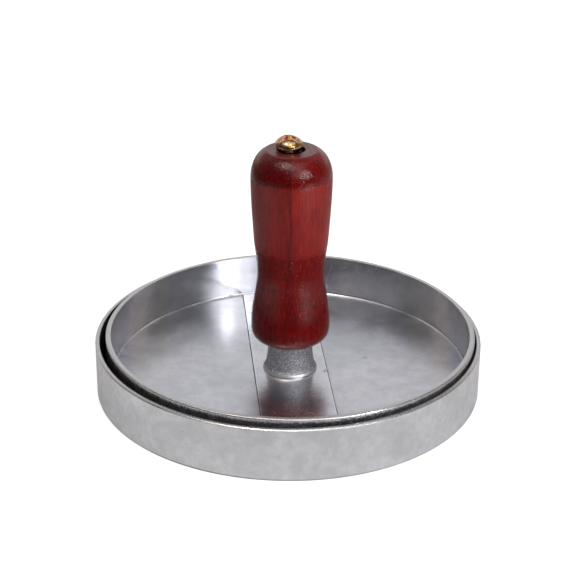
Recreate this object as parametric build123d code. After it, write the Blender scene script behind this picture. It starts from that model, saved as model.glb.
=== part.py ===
from build123d import *
import os

# Burger press, in millimetres, +Z up. The origin is on the surface the press stands on,
# at the centre of the mould. A round cast mould holds a loose round press plate, whose
# stem carries a turned wooden handle held by one long screw from above.

# Mould: a shallow dish with a flat floor and a thin straight wall
mould_diameter = 120.0
mould_height = 16.8
mould_wall = 1.4
mould_floor = 2.0
mould_foot_chamfer = 0.4
mould_rim_chamfer = 0.3
mould_corner_radius = 1.2

# Play between the mould's wall and the press plate, all round when both are centred,
# and the gap that is left on the side that the loose plate has slid to
press_clearance = 1.15
near_gap = 0.5

# Press plate: a pan with a rim that stands a little proud of the mould
rim_wall = 1.6
rim_rise = 2.0
rim_outer_round = 0.6
rim_inner_chamfer = 0.15
plate_thickness = 2.8
plate_corner_radius = 2.0
pan_floor_fillet = 0.8

# The flat raised band that runs across the pan's floor under the stem
band_width = 22.7
band_height = 0.3
band_turn = 5.5

# Concentric grooves in the two faces that touch the meat
groove_radius = 0.6
groove_pitch = 6.0
groove_margin = 4.0

# Stem, cast in one with the press plate: a bead that is widest where it stands on the
# band, a hollow cone above it and a plain top. The slope is the bead's rise over its run
# where it meets the cone
stem_radius = 7.0
stem_height = 10.7
stem_bead_radius = 8.5
stem_bead_height = 1.1
stem_neck_radius = 8.1
stem_neck_slope = 1.2
stem_cone_radius = 7.6
stem_cone_height = 2.0
stem_flare_height = 7.2

# Handle, turned from wood: radii at the foot, bulge, waist, flank, grip and top, and
# where these rings lie: the lower ones by their height above the handle's foot, the grip
# and the shoulder by their drop below its top. The shoulder meets the flat top in an
# edge, where the slope is its rise over its run
handle_length = 62.5
handle_foot_radius = 8.0
handle_foot_corner_radius = 11.6
handle_foot_corner_height = 2.0
handle_bulge_radius = 12.2
handle_bulge_height = 6.5
handle_waist_radius = 10.3
handle_waist_height = 23.0
handle_flank_radius = 11.4
handle_flank_height = 34.5
handle_grip_radius = 12.35
handle_grip_drop = 8.5
handle_shoulder_radius = 11.0
handle_shoulder_drop = 3.0
handle_top_radius = 7.6
handle_top_slope = 0.35

# The handle's foot is hollowed to sit over the top of the stem
recess_depth = 2.0
recess_clearance = 0.2

# Screw with a domed head and a cross recess, and its two washers
screw_radius = 2.0
screw_length = 70.0
screw_thread_length = 20.0
thread_pitch = 0.7
thread_depth = 0.4
screw_tip_chamfer = 0.6
head_radius = 4.2
head_height = 3.6
head_edge_height = 0.8
head_edge_round = 0.4
head_edge_slope = 0.2
cross_reach = 2.95
cross_width = 1.15
cross_depth = 2.0
cross_point = 0.6
cross_turn = -24.0
flat_washer_radius = 3.55
flat_washer_thickness = 0.8
spring_washer_radius = 3.4
spring_washer_thickness = 1.0
spring_washer_slit = 0.7
spring_washer_slit_angle = -62.0
spring_washer_slit_slant = 25.0
washer_bore_clearance = 0.2
counterbore_depth = 1.1
counterbore_clearance = 0.1

# The handle is bored a little to the left of its turned outline, and the screw stands a
# little to the left again in that bore, which is wide enough for it
bore_off_centre = 0.25
screw_off_centre = 0.65
handle_bore_clearance = 0.2
tapped_hole_clearance = 0.05
tapped_hole_spare_depth = 1.0

# Places worked out from the sizes above
mould_radius = mould_diameter / 2
mould_inner_radius = mould_radius - mould_wall
press_radius = mould_inner_radius - press_clearance
pan_radius = press_radius - rim_wall
press_shift = press_clearance - near_gap
press_bottom = mould_floor
pan_floor = press_bottom + plate_thickness
plate_middle = press_bottom + plate_thickness / 2
rim_top = mould_height + rim_rise
band_top = pan_floor + band_height
handle_foot = pan_floor + stem_height
stem_top = handle_foot + recess_depth
handle_top = handle_foot + handle_length
counterbore_floor = handle_top - counterbore_depth
flat_washer_top = counterbore_floor + flat_washer_thickness
head_seat = flat_washer_top + spring_washer_thickness
screw_tip = head_seat - screw_length
tapped_hole_bottom = screw_tip - tapped_hole_spare_depth
handle_bore_radius = screw_radius + screw_off_centre + handle_bore_clearance
counterbore_radius = flat_washer_radius + screw_off_centre + counterbore_clearance
washer_bore_radius = screw_radius + washer_bore_clearance

press_axis = Pos(press_shift, 0, 0)
bore_axis = press_axis * Pos(-bore_off_centre, 0, 0)
screw_axis = bore_axis * Pos(-screw_off_centre, 0, 0)


def turned(*outline):
    """The solid that a closed outline, drawn as radius and height, sweeps about +Z."""
    return revolve(make_face(Plane.XZ * Curve(outline)), Axis.Z)


def disc(radius, bottom, top):
    """A plain upright cylinder between two heights."""
    return Pos(0, 0, bottom) * Cylinder(radius, top - bottom, align=(Align.CENTER, Align.CENTER, Align.MIN))


def grooves(face_radius, height):
    """Half-round rings about +Z, cut evenly spaced into a round face at this height."""
    count = int((face_radius - groove_margin) / groove_pitch)
    rings = [
        revolve(Plane.XZ * Pos((number + 1) * groove_pitch, height) * Circle(groove_radius), Axis.Z)
        for number in range(count)
    ]
    return rings


def make_mould():
    wall_top = mould_height - mould_rim_chamfer
    corner_start = mould_inner_radius - mould_corner_radius
    corner_end = mould_floor + mould_corner_radius
    outline = (
        Polyline(
            (corner_start, mould_floor),
            (0, mould_floor),
            (0, 0),
            (mould_radius - mould_foot_chamfer, 0),
            (mould_radius, mould_foot_chamfer),
            (mould_radius, wall_top),
            (mould_radius - mould_rim_chamfer, mould_height),
            (mould_inner_radius, mould_height),
            (mould_inner_radius, corner_end),
        ),
        RadiusArc((mould_inner_radius, corner_end), (corner_start, mould_floor), mould_corner_radius),
    )
    return turned(*outline) - grooves(mould_inner_radius, mould_floor)


def make_pan():
    """The press plate's floor and rim, without the band and the stem."""
    corner_start = press_radius - plate_corner_radius
    corner_end = press_bottom + plate_corner_radius
    round_start = rim_top - rim_outer_round
    round_end = press_radius - rim_outer_round
    fillet_top = pan_floor + pan_floor_fillet
    fillet_foot = pan_radius - pan_floor_fillet
    outline = (
        Polyline((fillet_foot, pan_floor), (0, pan_floor), (0, press_bottom), (corner_start, press_bottom)),
        RadiusArc((corner_start, press_bottom), (press_radius, corner_end), -plate_corner_radius),
        Line((press_radius, corner_end), (press_radius, round_start)),
        RadiusArc((press_radius, round_start), (round_end, rim_top), -rim_outer_round),
        Polyline(
            (round_end, rim_top),
            (pan_radius + rim_inner_chamfer, rim_top),
            (pan_radius, rim_top - rim_inner_chamfer),
            (pan_radius, fillet_top),
        ),
        RadiusArc((pan_radius, fillet_top), (fillet_foot, pan_floor), pan_floor_fillet),
    )
    return turned(*outline) - grooves(press_radius, press_bottom)


def make_band():
    """The raised band: a strip across the whole floor, with ends inside the rim's wall."""
    end_radius = pan_radius + rim_wall / 2
    hung = (Align.CENTER, Align.CENTER, Align.MAX)
    strip = Box(band_width, 2 * end_radius, band_top - plate_middle, align=hung)
    strip = Pos(0, 0, band_top) * Rot(0, 0, band_turn) * strip
    return strip & disc(end_radius, press_bottom, rim_top)


def make_stem():
    """The stem: a bead on the band, a hollow cone above it and a plain top."""
    bead = (stem_bead_radius, band_top)
    neck = (stem_neck_radius, band_top + stem_bead_height)
    cone = (stem_cone_radius, band_top + stem_cone_height)
    flare_end = (stem_radius, pan_floor + stem_flare_height)
    outline = (
        Polyline((0, stem_top), (0, plate_middle), (stem_bead_radius, plate_middle), bead),
        Spline(bead, neck, tangents=[(0, 1), (-1, stem_neck_slope)]),
        Spline(neck, cone, flare_end, tangents=[(-1, stem_neck_slope), (0, 1)]),
        Polyline(flare_end, (stem_radius, stem_top), (0, stem_top)),
    )
    return turned(*outline)


def make_press_plate():
    plate = make_pan() + make_band() + make_stem()
    tapped_hole = disc(screw_radius + tapped_hole_clearance, tapped_hole_bottom, stem_top)
    return press_axis * plate - screw_axis * tapped_hole


def make_handle():
    def ring(radius, height):
        return (radius, handle_foot + height)

    foot_edge = ring(handle_foot_radius, 0)
    bulge = ring(handle_bulge_radius, handle_bulge_height)
    waist = ring(handle_waist_radius, handle_waist_height)
    grip = ring(handle_grip_radius, handle_length - handle_grip_drop)
    top_edge = ring(handle_top_radius, handle_length)
    outline = (
        Spline(
            foot_edge,
            ring(handle_foot_corner_radius, handle_foot_corner_height),
            bulge,
            tangents=[(1, 0), (0, 1)],
        ),
        Spline(bulge, waist, tangents=[(0, 1), (0, 1)]),
        Spline(waist, ring(handle_flank_radius, handle_flank_height), grip, tangents=[(0, 1), (0, 1)]),
        Spline(
            grip,
            ring(handle_shoulder_radius, handle_length - handle_shoulder_drop),
            top_edge,
            tangents=[(0, 1), (-1, handle_top_slope)],
        ),
        Polyline(top_edge, ring(0, handle_length), ring(0, 0), foot_edge),
    )
    body = turned(*outline)
    recess = disc(stem_radius + recess_clearance, handle_foot, stem_top)
    bore = disc(handle_bore_radius, handle_foot, handle_top)
    counterbore = disc(counterbore_radius, counterbore_floor, handle_top)
    return press_axis * (body - recess) - bore_axis * (bore + counterbore)


def make_flat_washer():
    ring = disc(flat_washer_radius, counterbore_floor, flat_washer_top)
    return screw_axis * (ring - disc(washer_bore_radius, counterbore_floor, flat_washer_top))


def make_spring_washer():
    """A square-section ring with one slanted slit."""
    ring = disc(spring_washer_radius, flat_washer_top, head_seat)
    ring -= disc(washer_bore_radius, flat_washer_top, head_seat)
    slit = Box(
        2 * spring_washer_radius,
        spring_washer_slit,
        2 * spring_washer_radius,
        align=(Align.MIN, Align.CENTER, Align.CENTER),
    )
    slit = Rot(0, 0, spring_washer_slit_angle) * Rot(spring_washer_slit_slant, 0, 0) * slit
    return screw_axis * (ring - Pos(0, 0, (flat_washer_top + head_seat) / 2) * slit)


def thread_outline():
    """Radius and height of the thread's crests and roots, as rings, from the top one down."""
    top = screw_tip + screw_thread_length
    root = screw_radius - thread_depth
    count = int((screw_thread_length - 2 * screw_tip_chamfer) / thread_pitch)
    points = []
    for turn in range(count):
        crest = top - turn * thread_pitch
        points.append((screw_radius, crest))
        points.append((root, crest - thread_pitch / 2))
    points.append((screw_radius, top - count * thread_pitch))
    return points


def make_cross_recess():
    """A tapered cross, cut into the head from its crown."""
    crown = head_seat + head_height
    floor = crown - cross_depth
    arm = Polyline(
        (-cross_reach, crown),
        (-cross_point, floor),
        (cross_point, floor),
        (cross_reach, crown),
        (-cross_reach, crown),
    )
    blade = extrude(make_face(Plane.XZ * arm), cross_width / 2, both=True)
    return Rot(0, 0, cross_turn) * (blade + Rot(0, 0, 90) * blade)


def make_screw():
    crown = head_seat + head_height
    rim = (head_radius, head_seat + head_edge_height)
    seat_edge = (head_radius - head_edge_round, head_seat)
    head = (
        Spline((0, crown), rim, tangents=[(1, 0), (0, -1)]),
        Spline(rim, seat_edge, tangents=[(0, -1), (-1, -head_edge_slope)]),
    )
    shank = Polyline(
        seat_edge,
        (screw_radius, head_seat),
        *thread_outline(),
        (screw_radius, screw_tip + screw_tip_chamfer),
        (screw_radius - screw_tip_chamfer, screw_tip),
        (0, screw_tip),
        (0, crown),
    )
    return screw_axis * (turned(*head, shank) - make_cross_recess())


PIECES = {
    "mould": make_mould,
    "press_plate": make_press_plate,
    "handle": make_handle,
    "flat_washer": make_flat_washer,
    "spring_washer": make_spring_washer,
    "screw": make_screw,
}

os.makedirs("parts", exist_ok=True)
for name, make in PIECES.items():
    piece = make()
    export_step(piece, "parts/" + name + ".step")
    print(name, "volume", round(piece.volume, 1), "solids", len(piece.solids()))
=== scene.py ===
# %% [markdown]
# This lesson dresses a small burger press: a round cast aluminium mould, a loose press
# plate inside it, and a turned wooden handle that one long screw holds on the plate's
# stem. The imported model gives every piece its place, so nothing is fitted by eye here.
# Each piece is drawn again as a fine surface, because metal that is nearly a mirror shows
# every flat facet of a coarse mesh.

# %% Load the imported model
import bpy
import math
import numpy as np
from mathutils import Matrix, Vector


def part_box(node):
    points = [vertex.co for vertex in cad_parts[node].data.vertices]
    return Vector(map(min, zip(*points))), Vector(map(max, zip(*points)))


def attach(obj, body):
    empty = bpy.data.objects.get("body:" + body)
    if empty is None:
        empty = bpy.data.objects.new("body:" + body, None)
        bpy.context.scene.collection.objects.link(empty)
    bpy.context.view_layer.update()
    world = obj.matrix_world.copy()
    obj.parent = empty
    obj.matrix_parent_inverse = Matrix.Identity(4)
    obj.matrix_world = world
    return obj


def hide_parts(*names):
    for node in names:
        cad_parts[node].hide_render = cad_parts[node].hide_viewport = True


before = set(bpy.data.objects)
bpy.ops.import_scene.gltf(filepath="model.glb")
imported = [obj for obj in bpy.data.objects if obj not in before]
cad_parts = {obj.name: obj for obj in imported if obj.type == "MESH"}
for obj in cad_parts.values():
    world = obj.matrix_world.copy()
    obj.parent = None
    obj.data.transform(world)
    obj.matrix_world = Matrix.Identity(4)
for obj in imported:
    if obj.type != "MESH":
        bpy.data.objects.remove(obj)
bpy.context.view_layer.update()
MM = 0.001
print("packed nodes:", sorted(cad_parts))

# %% [markdown]
# The photograph was taken with a long lens from a little above. Its camera can be worked
# out from the ellipses of the two rims and from the handle's outline: how round an ellipse
# looks gives the camera's height, and how much the near side swells gives its distance.
# The camera comes first, so that every later choice is looked at from the right place.

# %% Camera
IMAGE_WIDTH = 587
FOCAL_PIXELS = 1589.0
CAMERA_DISTANCE = 490.9 * MM
CAMERA_PITCH = math.radians(25.21)
CAMERA_ROLL = math.radians(0.55)
CAMERA_TARGET = Vector((1.53, 0.0, 32.19)) * MM
SENSOR_WIDTH = 36.0


def make_camera():
    """A camera that looks along +Y and down at the pitch, then turns about its line of sight."""
    forward = Vector((0, math.cos(CAMERA_PITCH), -math.sin(CAMERA_PITCH)))
    right = Vector((1, 0, 0))
    up = right.cross(forward)
    rolled_right = math.cos(CAMERA_ROLL) * right + math.sin(CAMERA_ROLL) * up
    rolled_up = math.cos(CAMERA_ROLL) * up - math.sin(CAMERA_ROLL) * right
    data = bpy.data.cameras.new("photo_camera")
    data.sensor_width = SENSOR_WIDTH
    data.lens = SENSOR_WIDTH * FOCAL_PIXELS / IMAGE_WIDTH
    camera = bpy.data.objects.new("photo_camera", data)
    bpy.context.scene.collection.objects.link(camera)
    turn = Matrix((rolled_right, rolled_up, -forward)).transposed().to_4x4()
    camera.matrix_world = Matrix.Translation(CAMERA_TARGET - forward * CAMERA_DISTANCE) @ turn
    bpy.context.scene.camera = camera
    return camera


camera = make_camera()
print("lens", round(camera.data.lens, 1), "mm, camera at", camera.matrix_world.translation)

# %% [markdown]
# Nearly every piece was turned or cast round, so one kind of surface makes most of them: a
# profile of radius and height, swept round an upright axis. A profile is a few straight
# runs, arcs and smooth curves joined end to end. Keeping the profile apart from the sweep
# lets an edge get its small rounding, which is what catches the light.

# %% Profiles


def arc(centre, radius, start, end, count=9):
    """Points centre + radius (cos a, sin a), with a running from start to end degrees."""
    a = np.radians(np.linspace(start, end, count))[:, None]
    return np.array(centre) + radius * np.hstack([np.cos(a), np.sin(a)])


def curve(points, first_way, last_way, count=24):
    """A cubic through the points, with a given direction at both ends.

    Between two points the curve is h00 p + h10 m + h01 q + h11 n, the four cubic blending
    terms in t, where m and n are the directions there times the chord's length.
    Inside the list, a point's direction is the one from the point before to the one after.
    """
    p = np.array(points, float)
    ways = np.vstack([first_way, p[2:] - p[:-2], last_way]).astype(float)
    ways /= np.linalg.norm(ways, axis=1)[:, None]
    t = np.linspace(0, 1, count)[:, None]
    terms = (2 * t**3 - 3 * t**2 + 1, t**3 - 2 * t**2 + t, 3 * t**2 - 2 * t**3, t**3 - t**2)
    spans = []
    for i in range(len(p) - 1):
        chord = np.linalg.norm(p[i + 1] - p[i])
        given = (p[i], ways[i] * chord, p[i + 1], ways[i + 1] * chord)
        spans.append(sum(term * vector for term, vector in zip(terms, given)))
    return np.vstack(spans)


def joined(*parts):
    """One profile from lists of points and from straight runs, each run a tuple (r, h, count).

    A run's points are s + t (e - s), where s is the last point so far, e is (r, h) and t
    has count even values from 0 to 1. A point that repeats where parts meet is kept once.
    """
    line = np.empty((0, 2))
    for part in parts:
        if isinstance(part, tuple):
            end, t = np.array(part[:2]), np.linspace(0, 1, part[2])[:, None]
            start = line[-1] if len(line) else end
            part = start * (1 - t) + end * t
        line = np.vstack([line, part])
    step = np.linalg.norm(np.diff(line, axis=0), axis=1)
    return line[np.concatenate([[True], step > 1e-6])]


# %% [markdown]
# A mesh could be built face by face, but whole arrays are quicker and shorter. The sweep
# gives a grid of points, and each face is four neighbouring grid numbers. Where a profile
# starts or ends on the axis, one point closes it as a fan, so no seam or hole is left.

# %% Surfaces swept round an axis


def spread(profile, columns):
    """The profile's radius and height as two grids, the same in every column."""
    return np.repeat(profile[:, :1], columns, 1), np.repeat(profile[:, 1:], columns, 1)


def round_points(r, h, a, x=0.0):
    """The points (x + r cos a, r sin a, h) of whole grids, as one list."""
    return np.stack([x + r * np.cos(a), r * np.sin(a), h], -1).reshape(-1, 3)


def turned_points(points, angle, x):
    """The points turned by the angle about the upright axis, then moved by x."""
    u, v, h = points.T
    cos, sin = np.cos(angle), np.sin(angle)
    return np.stack([x + u * cos - v * sin, u * sin + v * cos, h], -1)


def closed(grid):
    """A grid of point numbers with its first column again at the end."""
    return np.hstack([grid, grid[:, :1]])


def quads(grid):
    """The four point numbers of each face in a grid of point numbers."""
    return np.stack([grid[:-1, :-1], grid[1:, :-1], grid[1:, 1:], grid[:-1, 1:]], -1).reshape(-1, 4)


def fan(ring, pole):
    """The three point numbers of each face between a closed ring and one point."""
    return np.stack([ring, np.roll(ring, -1), np.full(len(ring), pole)], -1)


def swept(profile, columns=256, x=0.0, shift=None):
    """Points and faces of x + r cos a, r sin a, h for every (r, h) of the profile and angle a.

    A profile that starts and ends on the axis is closed by two poles, and any other one is
    a loop. shift, where given, takes the arrays r, h and a and gives the moved r and h.
    """
    on_axis = profile[0, 0] < 1e-9
    a = np.linspace(0, 2 * np.pi, columns, endpoint=False)
    r, h = spread(profile[1:-1] if on_axis else profile, columns)
    if shift is not None:
        r, h = shift(r, h, a)
    points = round_points(r, h, a, x)
    last = len(points)
    grid = np.arange(last).reshape(r.shape)
    if not on_axis:
        return points, [quads(closed(np.vstack([grid, grid[:1]])).T)]
    poles = [[x, 0, profile[0, 1]], [x, 0, profile[-1, 1]]]
    faces = [quads(closed(grid).T), fan(grid[0, ::-1], last), fan(grid[-1], last + 1)]
    return np.vstack([points, poles]), faces


# %% [markdown]
# Three helpers bring every piece into the scene in the same way. The first turns arrays
# into a mesh that is smooth but for its real edges. The second puts the piece on the moving
# body of the imported node that it is drawn over, and hides that node. The third reads the
# sizes of a round node, so that the piece drawn over it has them too.

# %% From arrays to a piece
CREASE = 32.0


def make_piece(name, points, faces, crease=CREASE):
    """A mesh object in metres from points in millimetres, smooth except past the crease angle."""
    sizes = np.concatenate([np.full(len(group), group.shape[1]) for group in faces])
    starts = np.concatenate([[0], np.cumsum(sizes)[:-1]])
    corners = np.concatenate([group.ravel() for group in faces])
    mesh = bpy.data.meshes.new(name)
    mesh.vertices.add(len(points))
    mesh.vertices.foreach_set("co", (np.asarray(points, float) * MM).astype(np.float32).ravel())
    mesh.loops.add(len(corners))
    mesh.loops.foreach_set("vertex_index", corners.astype(np.int32))
    mesh.polygons.add(len(sizes))
    mesh.polygons.foreach_set("loop_start", starts.astype(np.int32))
    mesh.polygons.foreach_set("loop_total", sizes.astype(np.int32))
    mesh.update(calc_edges=True)
    mesh.validate()
    mesh.shade_smooth()
    mesh.set_sharp_from_angle(angle=math.radians(crease))
    piece = bpy.data.objects.new(name, mesh)
    bpy.context.scene.collection.objects.link(piece)
    print(name, len(mesh.polygons), "faces, size in mm", [round(v / MM, 2) for v in piece.dimensions])
    return piece


def seat(piece, node, body="press_body"):
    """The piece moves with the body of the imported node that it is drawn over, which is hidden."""
    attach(piece, body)
    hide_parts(node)


def round_box(node):
    """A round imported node's axis x, radius, bottom and top, in millimetres."""
    low, high = [[float(v) / MM for v in corner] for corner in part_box(node)]
    return (low[0] + high[0]) / 2, (high[1] - low[1]) / 2, low[2], high[2]


# %% [markdown]
# The mould is one shallow casting, turned true afterwards. Its wall is thin, its top edge
# has a small chamfer where the tool broke the corner, and its floor has ring grooves that
# keep the meat from sticking. A turned edge is never perfectly sharp, so each corner here
# has a small arc in the profile, and the top edge wavers by a few hundredths where it was
# filed by hand. The wavering is a sum of sines round the rim, which closes on itself.

# %% Mould
MOULD_RADIUS = 60.0
MOULD_HEIGHT = round_box("mould")[3]
MOULD_WALL = 1.4
MOULD_FLOOR = 2.0
MOULD_INNER = MOULD_RADIUS - MOULD_WALL
MOULD_CORNER = 1.2
FOOT_CHAMFER = 0.4
RIM_CHAMFER = 0.3
GROOVE_RADIUS = 0.6
GROOVE_PITCH = 6.0
GROOVE_MARGIN = 4.0
EDGE = 0.12
ROUND_COLUMNS = 480


def grooved(start, height, facing, face_radius):
    """A flat face from a radius in to the axis, with half-round rings sunk into it.

    facing is 1 where the face looks up and -1 where it looks down. Each groove is a half
    circle about a point on the face, passed from its outer edge to its inner one.
    """
    count = int((face_radius - GROOVE_MARGIN) / GROOVE_PITCH)
    angle = np.radians(np.linspace(180, 0, 9))
    across, deep = -GROOVE_RADIUS * np.cos(angle), facing * GROOVE_RADIUS * np.sin(angle)
    rings = [np.stack([GROOVE_PITCH * n + across, height - deep], 1) for n in range(count, 0, -1)]
    return joined([[start, height]], *rings, [[0, height]])


def waver(angle, seed, size, lowest=3, highest=60):
    """The sum of sines of whole turns round the rim, with seeded weights that fall with pitch."""
    draw = np.random.default_rng(seed)
    turns = np.arange(lowest, highest)
    weight = draw.normal(size=turns.size) / np.sqrt(turns)
    phase = draw.uniform(0, 2 * np.pi, turns.size)
    wave = (weight[:, None] * np.sin(turns[:, None] * angle + phase[:, None])).sum(0)
    return size * wave / np.abs(wave).max()


def filed_rim(top, depth, seed, size):
    """A shift of a swept surface: within depth of the top it wavers in and down, never out."""

    def shift(r, h, a):
        near = np.clip((h - (top - depth)) / depth, 0, 1) ** 2
        dip = waver(a, seed, size) - size
        return r + 0.5 * near * dip, h + near * dip

    return shift


def mould_profile():
    foot, rim = MOULD_RADIUS - FOOT_CHAMFER - EDGE, MOULD_RADIUS - RIM_CHAMFER - EDGE
    low, high = FOOT_CHAMFER + EDGE, MOULD_HEIGHT - RIM_CHAMFER - EDGE
    inner, floor = MOULD_INNER - MOULD_CORNER, MOULD_FLOOR + MOULD_CORNER
    return joined(
        (0, 0, 1),
        (foot, 0, 12),
        arc((foot, EDGE), EDGE, -90, -45, 4),
        arc((MOULD_RADIUS - EDGE, low), EDGE, -45, 0, 4),
        (MOULD_RADIUS, high, 24),
        arc((MOULD_RADIUS - EDGE, high), EDGE, 0, 45, 4),
        arc((rim, MOULD_HEIGHT - EDGE), EDGE, 45, 90, 4),
        (MOULD_INNER + EDGE, MOULD_HEIGHT, 5),
        arc((MOULD_INNER + EDGE, MOULD_HEIGHT - EDGE), EDGE, 90, 180, 5),
        (MOULD_INNER, floor, 16),
        arc((inner, floor), MOULD_CORNER, 0, -90, 9),
        grooved(inner, MOULD_FLOOR, 1, MOULD_INNER),
    )


mould_rim = filed_rim(MOULD_HEIGHT, 0.5, seed=4, size=0.03)
mould = make_piece("mould_casting", *swept(mould_profile(), ROUND_COLUMNS, shift=mould_rim))
seat(mould, "mould", "mould_body")

# %% [markdown]
# The press plate is a round pan, but a raised band runs straight across its floor, where
# two halves of the casting die met an insert. A polar grid would give the band's edges a
# saw-tooth, so the floor is a grid of chords instead: each column of points runs straight
# along the band, from one point of the rim's circle to its mirror image. Five columns stand
# on the slope of each band edge, so the step between them is a crisp line.

# %% Press plate: sizes and the angles of its grid
PRESS_X, PRESS_RADIUS, PLATE_BOTTOM, _ = round_box("press_plate")
RIM_WALL = 1.6
PAN_RADIUS = PRESS_RADIUS - RIM_WALL
PLATE_THICKNESS = 2.8
PAN_FLOOR = PLATE_BOTTOM + PLATE_THICKNESS
RIM_TOP = 18.8
RIM_ROUND = 0.6
RIM_INNER_ROUND = 0.1
PAN_FILLET = 0.8
PLATE_CORNER = 2.0
BAND_WIDTH = 22.7
BAND_HEIGHT = 0.3
BAND_TURN = math.radians(5.5)
BAND_STEP = 0.14
BAND_TOP = PAN_FLOOR + BAND_HEIGHT
FLOOR_EDGE = PAN_RADIUS - PAN_FILLET


def cosine_step(value, low, width):
    """1 up to low, 0 from low + width on, and (1 + cos pi t) / 2 between, t from 0 to 1."""
    return (1 + np.cos(np.pi * np.clip((value - low) / width, 0, 1))) / 2


def band_height(u):
    """The floor's rise at the distance u across the band: a cosine step at both edges."""
    return BAND_HEIGHT * cosine_step(np.abs(u), BAND_WIDTH / 2, BAND_STEP)


def crowded(even, extra, clearance):
    """Even grid lines with extra ones among them, less those too near an extra one."""
    kept = even[np.abs(even[:, None] - extra).min(1) > clearance]
    return np.sort(np.concatenate([kept, extra]))


def chord_angles(count=200):
    """Angles from 0 to half a turn, even but for five at each edge of the band.

    The angle of a chord at the distance u from the middle is the arc cosine of u / R.
    """
    steps = BAND_WIDTH / 2 + BAND_STEP * np.linspace(0, 1, 5)
    edges = np.arccos(np.concatenate([steps, -steps]) / FLOOR_EDGE)
    return crowded(np.linspace(0, np.pi, count + 1), edges, 0.35 * np.pi / count)


half_turn = chord_angles()
around = np.concatenate([half_turn, -half_turn[-2:0:-1]])
print("pan grid:", len(around), "angles, with the floor at", round(PAN_FLOOR, 2))

# %% [markdown]
# The floor's two ends, where a chord shrinks to a point, are single points of the rim's
# circle. Row by row the wall then follows: fillet, inner wall, rim, outer wall and the
# grooved underside, which closes on a pole. In the fillet the height is the greater of the
# arc's and the band's, so the band runs cleanly into the wall.

# %% Press plate: floor and rim


def plate_profile():
    """The plate's profile from the floor's edge up the wall, over the rim and back under."""
    fillet, corner = PAN_FLOOR + PAN_FILLET, PLATE_BOTTOM + PLATE_CORNER
    inner = PAN_RADIUS + RIM_INNER_ROUND
    return joined(
        arc((FLOOR_EDGE, fillet), PAN_FILLET, -90, 0, 13),
        (PAN_RADIUS, RIM_TOP - RIM_INNER_ROUND, 24),
        arc((inner, RIM_TOP - RIM_INNER_ROUND), RIM_INNER_ROUND, 180, 90, 5),
        (PRESS_RADIUS - RIM_ROUND, RIM_TOP, 5),
        arc((PRESS_RADIUS - RIM_ROUND, RIM_TOP - RIM_ROUND), RIM_ROUND, 90, 0, 9),
        (PRESS_RADIUS, corner, 20),
        arc((PRESS_RADIUS - PLATE_CORNER, corner), PLATE_CORNER, 0, -90, 11),
        grooved(PRESS_RADIUS - PLATE_CORNER, PLATE_BOTTOM, -1, PRESS_RADIUS),
    )


def make_pan(chord_points=101):
    """The pan's points and faces: the wall's rows, then the floor's chords inside row 0."""
    profile = plate_profile()[:-1]
    columns = len(around)
    r, h = filed_rim(RIM_TOP, 0.4, seed=7, size=0.05)(*spread(profile, columns), around)
    u, v = r * np.cos(around), r * np.sin(around)
    inside = (profile[:, 0] < PAN_RADIUS) & (profile[:, 1] > PLATE_BOTTOM + PLATE_CORNER)
    h[inside] = np.maximum(h[inside], PAN_FLOOR + band_height(u[inside]))
    wall = np.stack([u, v, h], -1).reshape(-1, 3)
    rows = np.arange(len(wall)).reshape(r.shape)
    pole = len(wall)

    upper = np.arange(1, len(half_turn) - 1)
    t = np.linspace(1, -1, chord_points)[1:-1]
    fu = np.repeat(u[0, upper][:, None], t.size, 1)
    fv = v[0, upper][:, None] * t[None, :]
    floor = np.stack([fu, fv, PAN_FLOOR + band_height(fu)], -1).reshape(-1, 3)
    inner = pole + 1 + np.arange(fu.size).reshape(fu.shape)
    grid = np.concatenate([upper[:, None], inner, columns - upper[:, None]], 1)
    first, final = grid[0], grid[-1]
    tip = np.stack([np.zeros_like(first[1:]), first[:-1], first[1:]], -1)
    tail = np.stack([np.full_like(final[1:], len(half_turn) - 1), final[1:], final[:-1]], -1)

    points = np.vstack([wall, [[0, 0, PLATE_BOTTOM]], floor])
    faces = [quads(closed(rows)), fan(rows[-1, ::-1], pole), quads(grid), tip, tail]
    return turned_points(points, BAND_TURN, PRESS_X), faces


pan = make_pan()
print("pan:", len(pan[0]), "points")

# %% [markdown]
# The stem is part of the same casting. Its lip swells over the band and a flare draws it in
# to a plain top that disappears into the handle. It is another swept surface, closed at its
# root inside the plate, and a Boolean union joins the two, so that the finished piece is
# one closed skin, as the casting is. A second Boolean drills the hole for the screw.

# %% Press plate: stem, and the union of both
_, HANDLE_RADIUS, HANDLE_FOOT, HANDLE_TOP = round_box("handle")
SCREW_X, HEAD_RADIUS, SCREW_TIP, HEAD_TOP = round_box("screw")
STEM_RADIUS = 7.0
STEM_LIP = 8.5
STEM_NECK = 8.1
STEM_CONE = 7.6
STEM_LIP_HEIGHT = 1.1
STEM_CONE_HEIGHT = 2.0
STEM_FLARE_TOP = PAN_FLOOR + 7.2
STEM_TOP = HANDLE_FOOT + 2.0
SCREW_RADIUS = 2.0
TAPPED_RADIUS = SCREW_RADIUS + 0.05
TAPPED_BOTTOM = SCREW_TIP - 1.0
TAPPED_TOP = STEM_TOP + 1.0


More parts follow.
